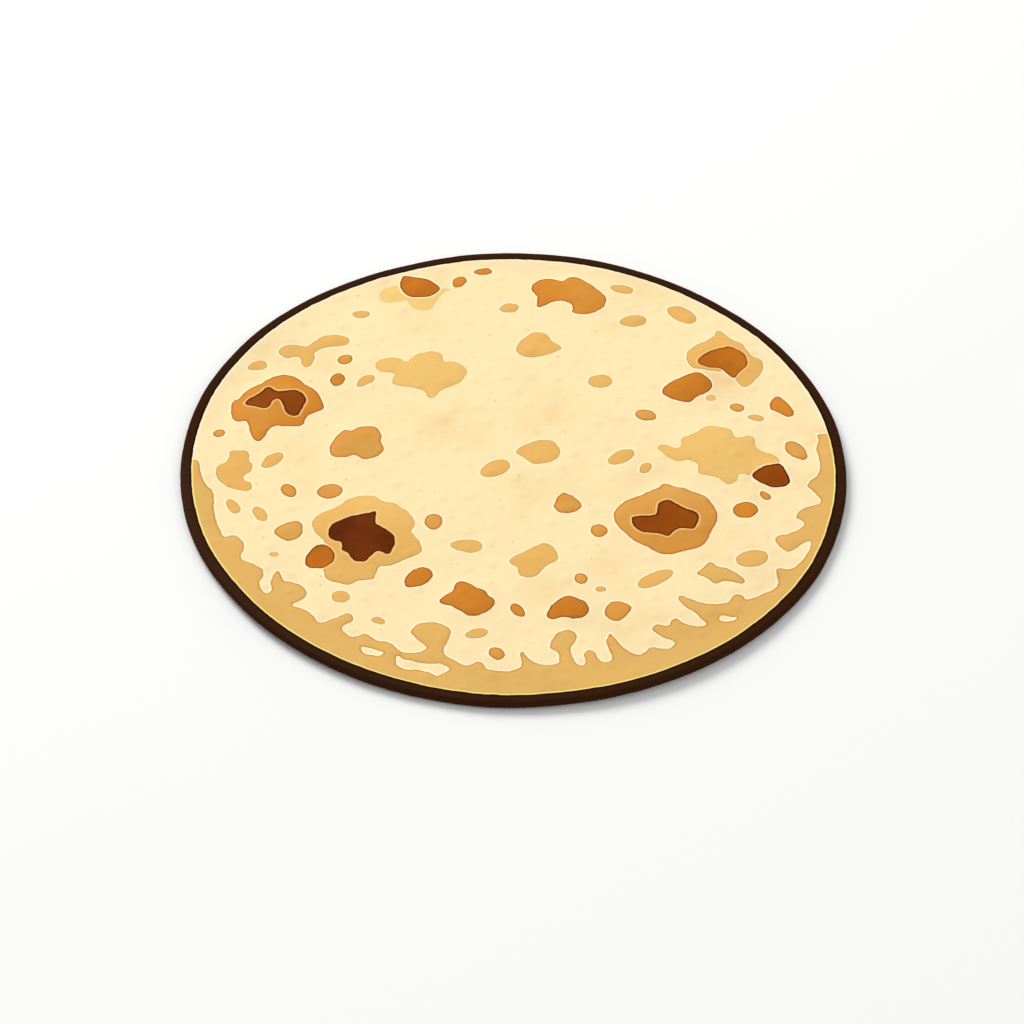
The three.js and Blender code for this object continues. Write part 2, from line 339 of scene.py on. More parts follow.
# Darker marks that lie on a paler one.
innerMarks = [
    ("copper", (0.002, -0.003), [
        (-31.8, 79.2), (-29.8, 79.1), (-26.0, 78.0), (-22.8, 76.0), (-21.1, 73.8), (-21.9, 71.4),
        (-23.9, 69.8), (-26.8, 69.2), (-29.8, 69.8), (-31.8, 71.7), (-32.7, 74.6), (-32.5, 77.2),
    ]),
    ("brown", (0, 0), [
        (52.0, 41.0), (53.0, 42.9), (55.6, 45.0), (58.4, 46.4), (61.0, 46.8), (63.4, 45.9),
        (65.4, 43.6), (66.0, 41.0), (65.6, 38.5), (63.6, 36.4), (62.4, 34.4), (61.2, 34.0),
        (59.8, 35.7), (58.2, 37.6), (55.0, 38.2), (52.6, 39.4),
    ]),
    ("umber", (0.002, 0), [
        (-74.1, 22.9), (-73.0, 24.8), (-70.4, 26.8), (-68.9, 29.1), (-67.4, 29.5), (-65.9, 28.1),
        (-63.4, 28.0), (-61.0, 28.4), (-59.2, 27.7), (-57.7, 25.8), (-57.3, 23.2), (-58.4, 20.2),
        (-59.0, 18.0), (-60.5, 17.5), (-62.1, 18.5), (-63.2, 21.1), (-64.0, 23.6), (-65.1, 24.4),
        (-66.4, 23.4), (-67.3, 21.4), (-68.4, 20.6), (-71.0, 21.3), (-73.4, 22.0),
    ]),
    ("dark", (0, 0), [
        (72.4, -1.9), (70.4, -2.0), (67.6, -3.0), (65.4, -4.8), (64.4, -6.6), (65.6, -8.5),
        (68.0, -10.3), (70.2, -11.2), (72.8, -10.8), (74.5, -9.2), (74.3, -7.0), (73.3, -4.2),
    ]),
    ("dark", (0, 0), [
        (41.2, -16.4), (43.2, -17.5), (45.8, -19.7), (48.6, -21.2), (49.2, -22.8), (48.6, -25.4),
        (47.6, -27.5), (44.8, -27.2), (42.6, -28.0), (41.4, -29.6), (40.6, -30.3), (38.8, -29.4),
        (34.2, -28.6), (32.2, -27.0), (31.4, -24.6), (31.8, -22.8), (36.4, -22.4), (38.0, -21.4),
        (38.3, -19.0), (39.3, -17.2),
    ]),
    ("charred", (0, 0), [
        (-36.6, -20.9), (-39.0, -21.4), (-42.6, -22.4), (-45.4, -24.0), (-47.4, -25.4), (-48.5, -28.0),
        (-48.2, -30.6), (-46.8, -31.9), (-45.2, -32.3), (-44.8, -33.8), (-44.8, -35.5), (-43.2, -36.7),
        (-42.0, -38.8), (-40.4, -39.8), (-38.2, -39.6), (-37.0, -37.8), (-35.9, -36.1), (-34.6, -36.1),
        (-32.9, -37.0), (-31.8, -35.9), (-31.0, -32.6), (-31.4, -29.8), (-33.6, -27.3), (-36.1, -25.3),
        (-36.2, -23.0),
    ]),
    ("brown", (0.003, 0), [
        (-49.7, -33.1), (-48.0, -34.4), (-46.8, -36.8), (-46.8, -39.6), (-48.6, -41.6), (-50.2, -42.2),
        (-52.6, -42.0), (-54.2, -40.6), (-54.1, -37.8), (-52.8, -35.0), (-51.4, -33.6),
    ]),
]

# The golden band along the front: toasting, and also painted shade over the front half of the top. Its inner
# edge runs from the left rim to the right rim.
shadedBandEdge = [
    (-86.6, -0.2), (-85.0, -0.8), (-84.4, -4.0), (-83.4, -8.0), (-82.0, -10.8), (-80.4, -12.6),
    (-79.9, -15.5), (-79.5, -20.0), (-78.4, -24.6), (-77.0, -28.6), (-75.8, -30.2), (-73.8, -29.7),
    (-72.0, -30.7), (-70.6, -33.0), (-70.5, -35.2), (-71.2, -37.0), (-70.6, -39.0), (-67.6, -40.6),
    (-65.2, -42.6), (-64.8, -45.0), (-65.7, -47.5), (-64.8, -50.2), (-63.4, -51.4), (-62.4, -50.0),
    (-62.7, -46.8), (-62.2, -44.4), (-61.2, -43.2), (-60.3, -44.6), (-59.4, -46.7), (-57.2, -47.4),
    (-55.2, -48.2), (-53.4, -50.2), (-53.2, -52.3), (-54.6, -54.0), (-56.6, -55.2), (-56.2, -56.2),
    (-53.4, -57.2), (-51.2, -59.4), (-49.8, -61.6), (-48.0, -61.7), (-45.0, -60.0), (-42.4, -58.7),
    (-41.0, -59.6), (-41.0, -61.4), (-43.4, -63.6), (-43.0, -65.4), (-40.8, -67.1), (-39.2, -66.5),
    (-37.6, -65.8), (-36.0, -66.9), (-34.4, -68.4), (-32.0, -68.8), (-30.0, -70.2), (-28.2, -72.3),
    (-25.2, -72.6), (-22.6, -71.8), (-22.0, -70.3), (-24.0, -68.2), (-25.9, -65.8), (-25.4, -63.6),
    (-23.2, -62.2), (-19.8, -61.9), (-16.8, -63.3), (-15.8, -65.2), (-16.4, -68.2), (-17.5, -71.0),
    (-17.0, -73.6), (-14.6, -75.2), (-12.6, -76.9), (-10.8, -76.9), (-9.2, -75.8), (-7.8, -76.2),
    (-6.6, -78.0), (-4.4, -78.9), (-0.4, -78.8), (1.8, -77.6), (2.1, -75.4), (1.7, -73.2),
    (2.4, -72.1), (3.4, -73.6), (5.2, -75.8), (8.0, -76.8), (11.2, -76.2), (11.7, -74.2),
    (11.0, -72.2), (9.4, -71.0), (9.9, -68.2), (11.2, -66.0), (13.2, -64.7), (15.2, -65.0),
    (16.2, -67.0), (15.6, -69.3), (14.5, -71.0), (15.0, -74.0), (16.2, -76.7), (17.6, -77.0),
    (18.4, -75.4), (17.9, -73.0), (19.0, -71.6), (20.6, -72.2), (21.5, -74.4), (22.6, -75.9),
    (24.4, -75.5), (25.0, -74.2), (24.2, -71.2), (23.6, -68.4), (24.6, -65.8), (25.8, -67.2),
    (27.2, -69.8), (29.2, -72.0), (31.2, -73.2), (33.4, -72.4), (34.8, -70.7), (37.2, -71.0),
    (39.6, -71.1), (41.0, -69.4), (40.0, -68.0), (37.8, -67.0), (36.2, -65.4), (35.5, -63.9),
    (36.8, -62.5), (39.4, -62.9), (40.6, -60.9), (42.0, -60.4), (43.6, -62.0), (45.6, -63.1),
    (48.2, -63.3), (49.4, -62.4), (48.0, -60.6), (46.6, -58.3), (44.4, -56.4), (42.7, -54.0),
    (43.2, -52.1), (45.6, -53.4), (49.0, -54.9), (52.8, -55.3), (55.4, -54.6), (56.6, -52.4),
    (58.0, -51.6), (59.3, -52.3), (60.2, -53.8), (64.0, -51.8), (67.2, -50.0), (68.7, -47.4),
    (68.4, -43.2), (69.6, -42.1), (71.6, -42.7), (74.0, -41.2), (76.4, -37.8), (78.1, -34.0),
    (78.2, -32.0), (76.4, -32.8), (74.4, -34.6), (72.0, -36.1), (70.2, -34.4), (69.0, -32.0),
    (69.6, -30.1), (72.6, -29.2), (75.4, -27.6), (77.0, -25.4), (76.0, -23.8), (74.9, -22.9),
    (76.2, -20.6), (79.0, -18.6), (81.6, -17.6), (82.0, -16.0), (80.6, -13.2), (79.0, -10.9),
    (79.8, -8.8), (82.0, -6.4), (83.0, -3.0), (82.9, 1.0), (82.6, 4.2), (83.4, 7.6), (83.2, 9.8),
    (85.2, 10.2),
]

# Slivers of bare dough left inside the toasted and shaded band.
shadedBandGaps = [
    [(-38.5, -70.8), (-36.6, -71.0), (-34.4, -71.8), (-32.7, -72.6), (-33.4, -73.6), (-35.6, -73.4),
     (-37.8, -72.6)],
    [(-29.2, -73.7), (-27.4, -75.0), (-24.8, -75.8), (-22.0, -76.4), (-18.6, -76.4), (-15.9, -78.0),
     (-17.4, -79.6), (-19.2, -80.5), (-21.2, -79.5), (-24.0, -78.5), (-27.6, -78.1), (-29.3, -76.4)],
    [(52.7, -60.6), (53.6, -59.3), (55.0, -59.8), (57.2, -60.1), (56.0, -61.4), (53.8, -61.5)],
]

# Faint scorching with no edge: middle x and y, reach and strength.
washes = [
    (-18.5, 15.5, 3.0, 0.45), (-15.0, 20.5, 3.0, 0.25), (-10.0, 9.0, 5.0, 0.22),
    (4.5, 14.0, 5.0, 0.3), (10.5, 18.5, 5.0, 0.34), (57.5, 32.5, 8.0, 0.5),
    (24.5, -41.5, 4.5, 0.25), (11.0, -51.0, 6.0, 0.3), (-72.0, 46.0, 7.0, 0.3),
    (52.0, -36.5, 4.0, 0.2), (84.5, 9.5, 4.0, 0.5), (-22.0, 78.0, 5.0, 0.3),
]

underside = {  # the side on the floor has marks of its own, laid out by chance
    "seed": 41,
    "marks": 46,
    "bigMarks": 6,
    "reach": 76,  # no middle lies further out than this
    "sizes": (1.5, 4.2),  # half lengths of the small marks
    "bigSizes": (9.0, 15.0),
    "gap": 2.5,  # between one mark and the next
    "widths": (0.5, 0.9),  # of the small marks, as shares of their lengths
    "tapers": (-0.2, 0.2),
    "lobes": (2, 3, 5, 7),  # round a big mark, each set smaller than the one before
    "lobeReach": 0.28,
    "coreShare": 0.5,  # how much of a big mark its darker middle takes up
    "smallTones": ["golden", "amber", "orange", "rust"],
    "bigTones": ["golden", "amber", "orange"],
    "coreTones": ["brown", "dark"],
}

marking = {
    "level": 2.6,  # the height that the top's marks are laid out at
    "noMark": -4.0,  # the depth that stands for far from every mark
    "curvePieces": 5,  # straight pieces from one point of an outline to the next
    "eggPoints": 28,
    "lobedPoints": 48,
    "shadedBandArcPoints": 60,
    "shadedBandBeyond": 6,  # how far past the rim the band's loop runs
}


# A smooth closed line through its points: Catmull-Rom curves.
def smoothLoop(points):
    here = np.array(points, float)
    before, after, beyond = (np.roll(here, shift, axis=0) for shift in (1, -1, -2))
    pieces = []
    for t in np.arange(marking["curvePieces"]) / marking["curvePieces"]:
        cubic = 3 * here - before - 3 * after + beyond
        square = 2 * before - 5 * here + 4 * after - beyond
        pieces.append((cubic * t**3 + square * t**2 + (after - before) * t + 2 * here) / 2)
    return np.stack(pieces, axis=1).reshape(-1, 2)


# An ellipse with one end wider than the other.
def eggLoop(x, y, halfLength, halfWidth, turn, taper):
    angle = np.arange(marking["eggPoints"]) * 2 * np.pi / marking["eggPoints"]
    along = halfLength * np.cos(angle)
    across = halfWidth * np.sin(angle) * (1 + taper * np.cos(angle))
    cosine, sine = math.cos(math.radians(turn)), math.sin(math.radians(turn))
    return np.stack([x + along * cosine - across * sine, y + along * sine + across * cosine], axis=1)


# Millimetres inside a closed line, and negative outside it.
def depthInside(xs, ys, loop):
    nearest = np.full(len(xs), np.inf)
    inside = np.zeros(len(xs), bool)
    for (x0, y0), (x1, y1) in zip(loop, np.roll(loop, -1, axis=0)):
        dx, dy = x1 - x0, y1 - y0
        share = np.clip(((xs - x0) * dx + (ys - y0) * dy) / (dx * dx + dy * dy), 0, 1)
        nearest = np.minimum(nearest, np.hypot(xs - x0 - share * dx, ys - y0 - share * dy))
        crosses = (y0 > ys) != (y1 > ys)
        inside ^= crosses & (xs < x0 + dx * (ys - y0) / (dy or 1))
    return np.where(inside, nearest, -nearest)


# One layer of marks over a set of points: how deep each point is in a mark, and how brown that is.
class MarkLayer:
    def __init__(self, xs, ys):
        self.xs, self.ys = xs, ys
        self.depth = np.full(len(xs), marking["noMark"])
        self.tone = np.full(len(xs), tones["golden"])

    def near(self, loop):
        low, high = loop.min(axis=0) + marking["noMark"], loop.max(axis=0) - marking["noMark"]
        inX = (self.xs > low[0]) & (self.xs < high[0])
        return np.nonzero(inX & (self.ys > low[1]) & (self.ys < high[1]))[0]

    def add(self, loop, tone, lean=(0, 0)):
        chosen = self.near(loop)
        xs, ys = self.xs[chosen], self.ys[chosen]
        depth = depthInside(xs, ys, loop)
        middle = loop.mean(axis=0)
        shade = tones[tone] + lean[0] * (xs - middle[0]) + lean[1] * (ys - middle[1])
        deeper = depth > self.depth[chosen]
        self.depth[chosen[deeper]] = depth[deeper]
        self.tone[chosen[deeper]] = shade[deeper]

    def cut(self, loop):
        chosen = self.near(loop)
        gap = depthInside(self.xs[chosen], self.ys[chosen], loop)
        self.depth[chosen] = np.minimum(self.depth[chosen], -gap)


# The shaded band's loop, toasting with painted shade: its inner edge, and back well outside the rim.
def shadedBandLoop():
    left, right = (math.atan2(y, x) for x, y in (shadedBandEdge[0], shadedBandEdge[-1]))
    angles = np.linspace(right, left, marking["shadedBandArcPoints"])  # clockwise, through the front
    outer = np.stack([np.cos(angles), np.sin(angles)], axis=1) * (breadRadius + marking["shadedBandBeyond"])
    return smoothLoop(shadedBandEdge + outer.tolist())


def topMarks(xs, ys):
    patches, cores = MarkLayer(xs, ys), MarkLayer(xs, ys)
    for x, y, halfLength, halfWidth, turn, taper, tone in roundMarks:
        patches.add(eggLoop(x, y, halfLength, halfWidth, turn, taper), tone)
    for tone, lean, points in openMarks:
        patches.add(smoothLoop(points), tone, lean)
    # the front band: toasting, with painted shade over the front half
    patches.add(shadedBandLoop(), "band")
    for points in shadedBandGaps:
        patches.cut(smoothLoop(points))
    for tone, lean, points in innerMarks:
        cores.add(smoothLoop(points), tone, lean)
    wash = np.zeros(len(xs))
    for x, y, reach, strength in washes:
        wash = np.maximum(wash, strength * np.exp(-((xs - x) ** 2 + (ys - y) ** 2) / reach**2))
    return patches, cores, wash


# A big mark laid out by chance: a circle with a few lobes.
def lobedLoop(dice, x, y, size):
    angle = np.arange(marking["lobedPoints"]) * 2 * np.pi / marking["lobedPoints"]
    reach = np.ones(len(angle))
    for lobes in underside["lobes"]:
        reach += underside["lobeReach"] / lobes * np.sin(lobes * angle + dice.uniform(0, 2 * np.pi))
    return np.stack([x + size * reach * np.cos(angle), y + size * reach * np.sin(angle)], axis=1)


def undersideMarks(xs, ys):
    dice = np.random.default_rng(underside["seed"])
    patches, cores = MarkLayer(xs, ys), MarkLayer(xs, ys)
    placed = []
    wanted = underside["bigMarks"] + underside["marks"]
    while len(placed) < wanted:
        big = len(placed) < underside["bigMarks"]
        size = dice.uniform(*underside["bigSizes" if big else "sizes"])
        reach = underside["reach"] * math.sqrt(dice.uniform())
        angle = dice.uniform(0, 2 * np.pi)
        x, y = reach * math.cos(angle), reach * math.sin(angle)
        spare = size + underside["gap"]
        if any(math.hypot(x - px, y - py) < spare + ps for px, py, ps in placed):
            continue
        placed.append((x, y, size))
        if big:
            patches.add(lobedLoop(dice, x, y, size), dice.choice(underside["bigTones"]))
            core = lobedLoop(dice, x, y, underside["coreShare"] * size)
            cores.add(core, dice.choice(underside["coreTones"]))
        else:
            width = size * dice.uniform(*underside["widths"])
            turn = dice.uniform(0, 180)
            taper = dice.uniform(*underside["tapers"])
            loop = eggLoop(x, y, size, width, turn, taper)
            patches.add(loop, dice.choice(underside["smallTones"]))
    return patches, cores, np.zeros(len(xs))


dough = {
    "thickness": 2.4,
    "restRadius": 80,  # flat underneath out to here
    "rimLift": 0.9,
    "rimRound": 1.1,
    "ovality": 0.63,
    "ovalTurn": -45,  # degrees
    "curlWaves": 5,
    "curlStart": 0.8,
    "curlLow": 1 / 3,
    "unevenness": 0.1,  # of the outline
    "ripples": ((11, 1), (17, 4)),  # that it is made of: waves round the outline, and where they start
    "waveHeight": 0.28,
    "waveLength": 46,
    "waveBend": 0.6,
    "waveBendRate": 0.7,
    "waveStart": 0.9,
    "fadeStart": 0.86,
    "topRings": 144,
    "undersideRings": 72,
    "ringGrowth": 6,  # points more on each ring than on the one inside it
    "rimFade": 3.0,  # the top's texture fades over this width towards the rim
    "cornerSteps": 4,
    "markRise": 0.3,  # how far a mark stands up, times its tone and the share that the palest rises
    "paleRise": 0.4,
    "markSlope": 1.1,  # how far in from its edge it rises
    "coreSink": 0.14,  # how far the darker middle of a mark sinks again
    "rimUneven": 0.34,  # how much wider the charred rim is at the back, and narrower at the front
}

# Blisters puffed up by steam: middle x and y, reach and rise.
steamBlisters = [
    (-65, 26, 15, 1.1), (-40, -26, 17, 1.3), (42, -21, 16, 1.2), (60, 43, 13, 1.0),
    (49, 31, 9, 0.8), (16, 71, 12, 0.9), (-27, 75, 9, 0.8), (-43, 8, 10, 0.8),
    (70, -5, 8, 0.8), (-12, -53, 10, 0.8), (15, -56, 9, 0.7), (-26, 37, 14, 0.6),
    (56, 3, 17, 0.6),
]


def smoothStep(value, start, end):
    share = np.clip((value - start) / (end - start), 0, 1)
    return share * share * (3 - 2 * share)


def outlineAt(angle):
    oval = dough["ovality"] * np.cos(2 * (angle - math.radians(dough["ovalTurn"])))
    ripples = [np.sin(waves * angle + start) for waves, start in dough["ripples"]]
    return breadRadius + oval + dough["unevenness"] * sum(ripples) / len(ripples)


def liftAt(share, angle):
    swing = (1 + np.sin(dough["curlWaves"] * angle + dough["curlStart"])) / 2
    rimLift = dough["rimLift"] * (dough["curlLow"] + (1 - dough["curlLow"]) * swing)
    return rimLift * smoothStep(share, dough["restRadius"] / breadRadius, 1)


def reliefAt(xs, ys):
    rate = 2 * np.pi / dough["waveLength"]
    bend = dough["waveBend"] * np.cos(dough["waveBendRate"] * rate * ys)
    wave = np.sin(rate * xs + bend) * np.sin(rate * ys + dough["waveStart"])
    blister = np.zeros(len(xs))
    for x, y, reach, rise in steamBlisters:
        share = np.clip(np.hypot(xs - x, ys - y) / reach, 0, 1)
        blister = np.maximum(blister, rise * (1 - share**2) ** 2)
    fade = 1 - smoothStep(np.hypot(xs, ys), dough["fadeStart"] * breadRadius, breadRadius)
    return fade * (dough["waveHeight"] * wave + blister)


# Triangles between two closed rings, stepped round together by their share of a turn.
def joinRings(first, second):
    faces = []
    i = j = 0
    while i < len(first) or j < len(second):
        a, b = first[i % len(first)], second[j % len(second)]
        if (j + 1) * len(first) <= (i + 1) * len(second):
            j += 1
            faces.append((a, b, second[j % len(second)]))
        else:
            i += 1
            faces.append((a, b, first[i % len(first)]))
    return [face for face in faces if len(set(face)) == 3]


# The bread ring by ring: the middle of the top, out to the rim, round it, and in to the middle of the
# underside. Each ring holds its points' directions and places, its side, and how far in they lie from the
# outline.
def breadRings():
    thickness, rimRound = dough["thickness"], dough["rimRound"]
    cornerShare = 1 - rimRound / breadRadius
    rings = []

    def addRing(count, share, inset, height, side):
        angle = 2 * np.pi * np.arange(count) / count
        reach = (outlineAt(angle) - inset) * share
        xs, ys = reach * np.cos(angle), reach * np.sin(angle)
        rings.append({
            "angle": angle, "x": xs, "y": ys, "z": height(xs, ys, angle), "side": side,
            "edge": outlineAt(angle) - reach,
        })

    def topHeight(share):
        return lambda xs, ys, angle: thickness + liftAt(share * cornerShare, angle) + reliefAt(xs, ys)

    def cornerHeight(turn):
        half = thickness / 2
        return lambda xs, ys, angle: half + half * math.cos(turn) + liftAt(1, angle)

    def undersideHeight(share):
        return lambda xs, ys, angle: liftAt(share, angle)

    addRing(1, 0, 0, topHeight(0), "top")
    for n in range(1, dough["topRings"] + 1):
        share = n / dough["topRings"]
        addRing(dough["ringGrowth"] * n, share, rimRound, topHeight(share), "top")
    steps = 2 * dough["cornerSteps"]
    for step in range(1, steps):
        turn = math.pi * step / steps
        side = "top" if step <= dough["cornerSteps"] else "underside"
        count = dough["ringGrowth"] * dough["topRings"]
        addRing(count, 1, rimRound * (1 - math.sin(turn)), cornerHeight(turn), side)
    for n in range(dough["undersideRings"], 0, -1):
        share = cornerShare * n / dough["undersideRings"]
        addRing(dough["ringGrowth"] * n, share, 0, undersideHeight(share), "underside")
    addRing(1, 0, 0, undersideHeight(0), "underside")
    return rings


breadMap = {  # the flat map of the skin: the top and the underside as two discs, corner to corner
    "name": "OFBake",
    "discRadius": 0.288,
}


# The skin opened out flat. The seam runs round the middle of the rim's wall.
def mapBread(mesh, rings):
    counts = [len(ring["x"]) for ring in rings]
    radial = [np.hypot(ring["x"], ring["y"]).mean() for ring in rings]
    height = [ring["z"].mean() for ring in rings]
    steps = np.hypot(np.diff(radial), np.diff(height))
    fromTop = np.concatenate([[0], np.cumsum(steps)])
    fromUnder = fromTop[-1] - fromTop
    seam = sum(ring["side"] == "top" for ring in rings) - 1
    radius = breadMap["discRadius"]
    scale = radius / max(fromTop[seam], fromUnder[seam])

    corner = np.empty(len(mesh.loops), np.int32)
    mesh.loops.foreach_get("vertex_index", corner)
    ringOf = np.repeat(np.arange(len(rings)), counts)[corner]
    angle = np.concatenate([ring["angle"] for ring in rings])[corner]
    isTop = np.repeat((ringOf <= seam).reshape(-1, 3).all(axis=1), 3)
    reach = np.where(isTop, fromTop[ringOf], fromUnder[ringOf]) * scale
    middle = np.where(isTop, radius, 1 - radius)
    flip = np.where(isTop, 1, -1)  # the underside is seen from below
    places = np.stack([middle + flip * reach * np.cos(angle), middle + reach * np.sin(angle)], axis=1)
    layer = mesh.uv_layers.new(name=breadMap["name"])
    layer.uv.foreach_set("vector", places.astype(np.float32).ravel())


def makeBreadMesh():
    rings = breadRings()
    xs, ys, zs, edge = (np.concatenate([ring[key] for ring in rings]) for key in ("x", "y", "z", "edge"))
    counts = [len(ring["x"]) for ring in rings]
    starts = np.concatenate([[0], np.cumsum(counts)])
    isTop = np.repeat([ring["side"] == "top" for ring in rings], counts)
    numbered = [list(range(start, start + count)) for start, count in zip(starts, counts)]
    faces = [face for a, b in zip(numbered, numbered[1:]) for face in joinRings(a, b)]

    skin = {name: np.zeros(len(xs)) for name in ("patchDepth", "patchTone", "coreDepth", "coreTone", "wash")}
    # the top's marks are laid out as seen at a slant, so raised dough takes its mark from further back
    seenYs = ys + (zs - marking["level"]) / math.tan(math.radians(studio["elevation"]))
    for side, layOut, markYs in ((isTop, topMarks, seenYs), (~isTop, undersideMarks, ys)):
        patches, cores, wash = layOut(xs[side], markYs[side])
        layers = (patches.depth, patches.tone, cores.depth, cores.tone, wash)
        for name, values in zip(skin, layers):
            skin[name][side] = values
    skin["rimInset"] = edge - dough["rimUneven"] * ys / breadRadius
    skin["topside"] = isTop * smoothStep(edge, dough["rimRound"], dough["rimRound"] + dough["rimFade"])

    slope = dough["markSlope"]
    swell = 1 - np.exp(-np.maximum(skin["patchDepth"], 0) / slope)
    sink = 1 - np.exp(-np.maximum(skin["coreDepth"], 0) / slope)
    rise = dough["markRise"] * (dough["paleRise"] + skin["patchTone"]) * swell - dough["coreSink"] * sink
    zs = zs + rise * skin["topside"]

    mesh = bpy.data.meshes.new("roti")
    places = np.stack([xs, ys, zs], axis=1) * mm
    mesh.from_pydata(places.tolist(), [], faces)
    for name, values in skin.items():
        attribute = mesh.attributes.new(name, "FLOAT", "POINT")
        attribute.data.foreach_set("value", values.astype(np.float32))
    mapBread(mesh, rings)
    mesh.shade_smooth()
    return mesh


skinTexture = {  # millimetres, as the modifier's inputs are named
    "Blister Spacing": 6.5,
    "Smallest Blister": 1.0,
    "Largest Blister": 3.0,
    "Blister Rise": 0.28,
    "Wrinkle Size": 9.0,
    "Wrinkle Rise": 0.3,
    "Crumb Size": 2.2,
    "Crumb Rise": 0.08,
    "Seed": 7,
}


# Small steam blisters, wrinkles and crumb over the skin. Blisters stand on the top only, and nothing
# reaches below the floor.
def skinTree():
    tree = bpy.data.node_groups.new("griddledSkin", "GeometryNodeTree")
    tree.interface.new_socket("Geometry", in_out="INPUT", socket_type="NodeSocketGeometry")
    for name in skinTexture:
        kind = "NodeSocketInt" if name == "Seed" else "NodeSocketFloat"
        tree.interface.new_socket(name, in_out="INPUT", socket_type=kind)
    tree.interface.new_socket("Material", in_out="INPUT", socket_type="NodeSocketMaterial")
    tree.interface.new_socket("Geometry", in_out="OUTPUT", socket_type="NodeSocketGeometry")
    given = tree.nodes.new("NodeGroupInput").outputs
    made = tree.nodes.new("NodeGroupOutput").inputs

    place = addNode(tree, "GeometryNodeInputPosition")
    normal = addNode(tree, "GeometryNodeInputNormal")
    topside = addNode(tree, "GeometryNodeInputNamedAttribute", {"Name": "topside"}, data_type="FLOAT")

    # blisters: scattered points, each with a reach of its own
    points = addNode(
        tree,
        "GeometryNodeDistributePointsOnFaces",
        {
            "Mesh": given["Geometry"],
            "Distance Min": given["Blister Spacing"],
            "Density Max": 1e6,  # as many as the spacing lets stand
            "Density Factor": topside,
            "Seed": given["Seed"],
        },
        distribute_method="POISSON",
    )
    reachOfPoint = addNode(
        tree,
        "FunctionNodeRandomValue",
        {"Min": given["Smallest Blister"], "Max": given["Largest Blister"], "Seed": given["Seed"]},
        data_type="FLOAT",
    )
    nearest = addNode(tree, "GeometryNodeSampleNearest", {"Geometry": points}, domain="POINT")
    middle = addNode(
        tree,
        "GeometryNodeSampleIndex",
        {"Geometry": points, "Value": place, "Index": nearest},
        data_type="FLOAT_VECTOR",
        domain="POINT",
    )
    reach = addNode(
        tree,
        "GeometryNodeSampleIndex",
        {"Geometry": points, "Value": reachOfPoint, "Index": nearest},
        data_type="FLOAT",
        domain="POINT",
    )
    away = addNode(tree, "ShaderNodeVectorMath", {0: place, 1: middle}, output="Value", operation="DISTANCE")
    dome = addNode(
        tree,
        "ShaderNodeMapRange",
        {"Value": away, "From Min": 0.0, "From Max": reach, "To Min": 1.0, "To Max": 0.0},
        interpolation_type="SMOOTHERSTEP",
    )
    reachShare = addNode(tree, "ShaderNodeMath", {0: reach, 1: given["Largest Blister"]}, operation="DIVIDE")
    sizedDome = addNode(tree, "ShaderNodeMath", {0: dome, 1: reachShare}, operation="MULTIPLY")
    topDome = addNode(tree, "ShaderNodeMath", {0: sizedDome, 1: topside}, operation="MULTIPLY")
    height = addNode(tree, "ShaderNodeMath", {0: topDome, 1: given["Blister Rise"]}, operation="MULTIPLY")

    # wrinkles and crumb: noise about zero, with this much detail
    for name, detail in (("Wrinkle", 3.0), ("Crumb", 2.0)):
        scale = addNode(tree, "ShaderNodeMath", {0: 1.0, 1: given[name + " Size"]}, operation="DIVIDE")
        noise = addNode(tree, "ShaderNodeTexNoise", {"Vector": place, "Scale": scale, "Detail": detail})
        level = addNode(tree, "ShaderNodeMath", {0: noise, 1: 0.5}, operation="SUBTRACT")
        raised = {0: level, 1: given[name + " Rise"], 2: height}
        height = addNode(tree, "ShaderNodeMath", raised, operation="MULTIPLY_ADD")

    offset = addNode(tree, "ShaderNodeVectorMath", {0: normal, "Scale": height}, operation="SCALE")
    moved = addNode(tree, "ShaderNodeVectorMath", {0: place, 1: offset}, operation="ADD")
    lowest = (-1.0, -1.0, 0.0)  # metres: the floor, and at the sides far outside the bread
    aboveFloor = addNode(tree, "ShaderNodeVectorMath", {0: moved, 1: lowest}, operation="MAXIMUM")
    shaped = {"Geometry": given["Geometry"], "Position": aboveFloor}
    skin = addNode(tree, "GeometryNodeSetPosition", shaped)
    realized = addNode(tree, "GeometryNodeRealizeInstances", {"Geometry": skin})
    finished = {"Geometry": realized, "Material": given["Material"]}
    painted = addNode(tree, "GeometryNodeSetMaterial", finished)
    tree.links.new(painted, made["Geometry"])
    return tree


def textureBread(bread, material):
    modifier = bread.modifiers.new("griddledSkin", "NODES")
    modifier.node_group = skinTree()
    for item in modifier.node_group.interface.items_tree:
        if item.name == "Material":
            modifier[item.identifier] = material
        elif item.name == "Seed":
            modifier[item.identifier] = skinTexture["Seed"]
        elif item.name in skinTexture:
            modifier[item.identifier] = skinTexture[item.name] * mm
    evaluated = bread.evaluated_get(bpy.context.evaluated_depsgraph_get())
    textured = bpy.data.meshes.new_from_object(evaluated)
    bread.modifiers.remove(modifier)
    bread.data = textured
    textured.name = "roti"


